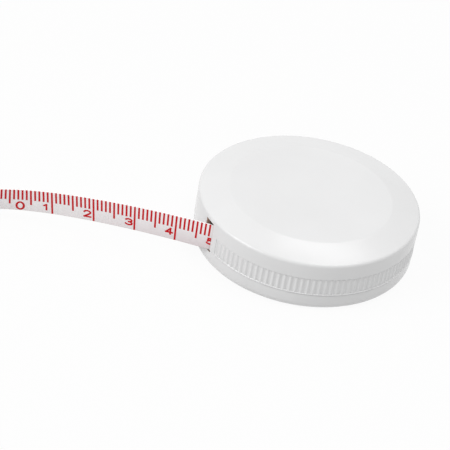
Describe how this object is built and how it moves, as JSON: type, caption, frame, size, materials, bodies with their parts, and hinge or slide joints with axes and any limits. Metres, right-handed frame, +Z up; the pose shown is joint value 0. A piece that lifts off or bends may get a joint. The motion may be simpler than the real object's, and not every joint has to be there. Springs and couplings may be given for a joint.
{
  "type": "cloth tape measure",
  "caption": "Round retractable cloth tape measure: ribbed case, sprung reel with brake, release button underneath, short length of printed tape out with a folded end clip.",
  "frame": {"origin": "centre of the flat underside, on the axis of the case and the reel", "axes": "+Z up along the axis of the case, -X the way the tape leaves the mouth, which is on the -Y side"},
  "size_m": [0.1084, 0.0555, 0.0144],
  "materials": {
    "case_plastic": "satin white",
    "button_plastic": "satin white",
    "tape_cloth": "coated woven glass fibre, printed in red",
    "reel_plastic": "moulded",
    "washer_plastic": "smooth",
    "plate_steel": "zinc plated",
    "spring_steel": "blued strip and wire",
    "clip_nickel": "nickel plated",
    "brake_felt": "pressed felt"
  },
  "bodies": {
    "case": {"upper_cover": "case_plastic", "lower_cover": "case_plastic", "arbor_plate": "plate_steel", "arbor": "plate_steel", "arbor_clip_ring": "spring_steel", "thrust_washer": "washer_plastic"},
    "reel": {"reel_hub": "reel_plastic", "reel_upper_flange": "reel_plastic", "spring_cover": "reel_plastic", "mainspring": "spring_steel", "tape_winding": "tape_cloth", "tape_anchor_pin": "plate_steel"},
    "button": {"release_button": "button_plastic", "button_spring": "spring_steel", "brake_disc": "plate_steel", "brake_pad": "brake_felt", "stem_screw": "plate_steel"},
    "tape_end": {"tape_lead": "tape_cloth", "end_clip": "clip_nickel", "clip_rivet": "clip_nickel"}
  },
  "joints": [
    {"name": "reel_spin", "type": "hinge", "parent": "case", "child": "reel", "pos_m": [0, 0, 0.0075], "axis": [0, 0, -1], "range_deg": [-167.6, 4266], "deforming": ["mainspring"]},
    {"name": "tape_pull", "type": "slide", "parent": "case", "child": "tape_end", "axis": [-0.9926, -0.1216, 0], "range_m": [-0.055, 1.4], "deforming": ["tape_lead"]},
    {"name": "button_press", "type": "slide", "parent": "case", "child": "button", "axis": [0, 0, 1], "range_m": [0, 0.0008], "stiffness_N_per_m": 800, "springref_m": -0.0012, "deforming": ["button_spring"]}
  ],
  "couplings": [
    {"joint": "tape_pull", "follows": "reel_spin", "m_per_rad": 0.0188}
  ]
}
